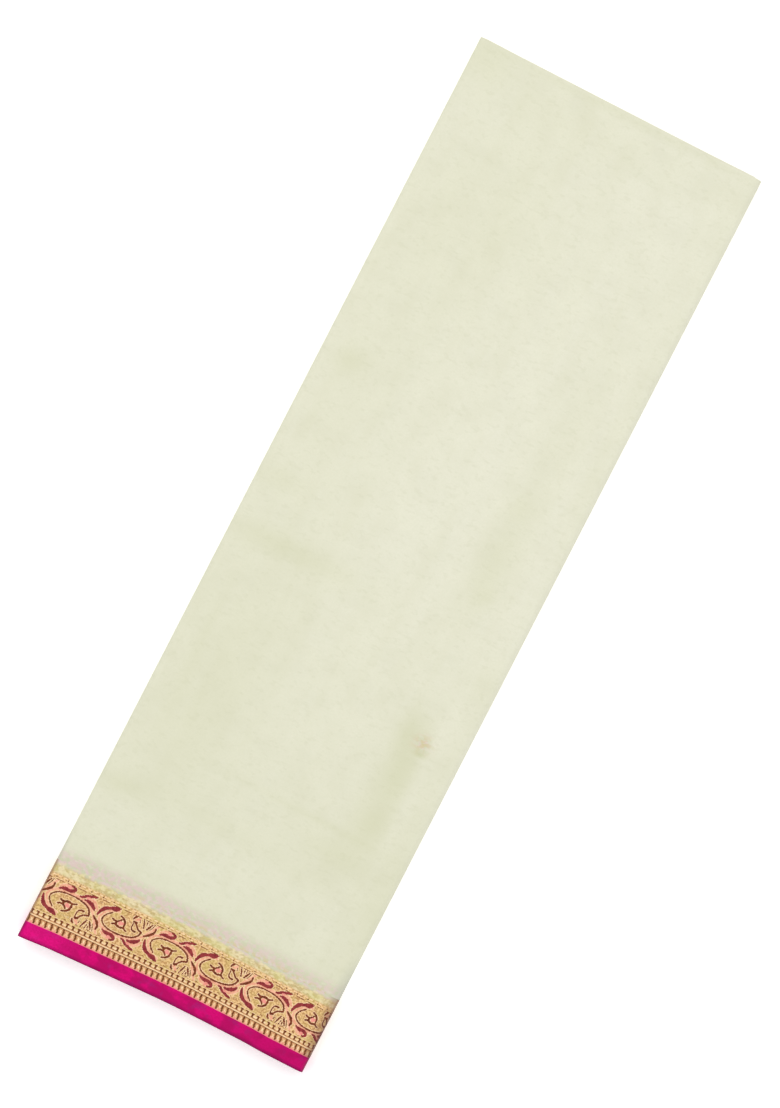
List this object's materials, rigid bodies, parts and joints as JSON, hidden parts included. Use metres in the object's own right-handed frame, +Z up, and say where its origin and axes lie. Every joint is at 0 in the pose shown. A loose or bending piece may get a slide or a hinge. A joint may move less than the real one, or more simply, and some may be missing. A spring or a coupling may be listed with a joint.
{
  "type": "folded silk saree",
  "caption": "Plain cream silk saree folded into a long flat pack, with a gold brocade paisley border and a magenta selvedge band across one end.",
  "frame": {"origin": "centre of the bounding box's bottom, where the pack rests", "axes": "+Y along the pack from the border end to the far end, +X across to the last fold, +Z up off the surface it lies on"},
  "size_m": [0.18, 0.5754, 0.014],
  "materials": {
    "field_silk": "soft satin sheen, fine plain weave",
    "zari_border": "metallic gold thread brocade with magenta and maroon figures",
    "selvedge_band": "smooth satin"
  },
  "bodies": {
    "root": {"top_field": "field_silk", "top_zari_border": "zari_border", "top_selvedge_band": "selvedge_band", "side_fold_field": "field_silk", "side_fold_zari_border": "zari_border", "side_fold_selvedge_band": "selvedge_band", "under_field": "field_silk", "under_zari_border": "zari_border", "under_selvedge_band": "selvedge_band", "hidden_layers_field": "field_silk", "hidden_layers_zari_border": "zari_border", "hidden_layers_selvedge_band": "selvedge_band"}
  },
  "joints": []
}
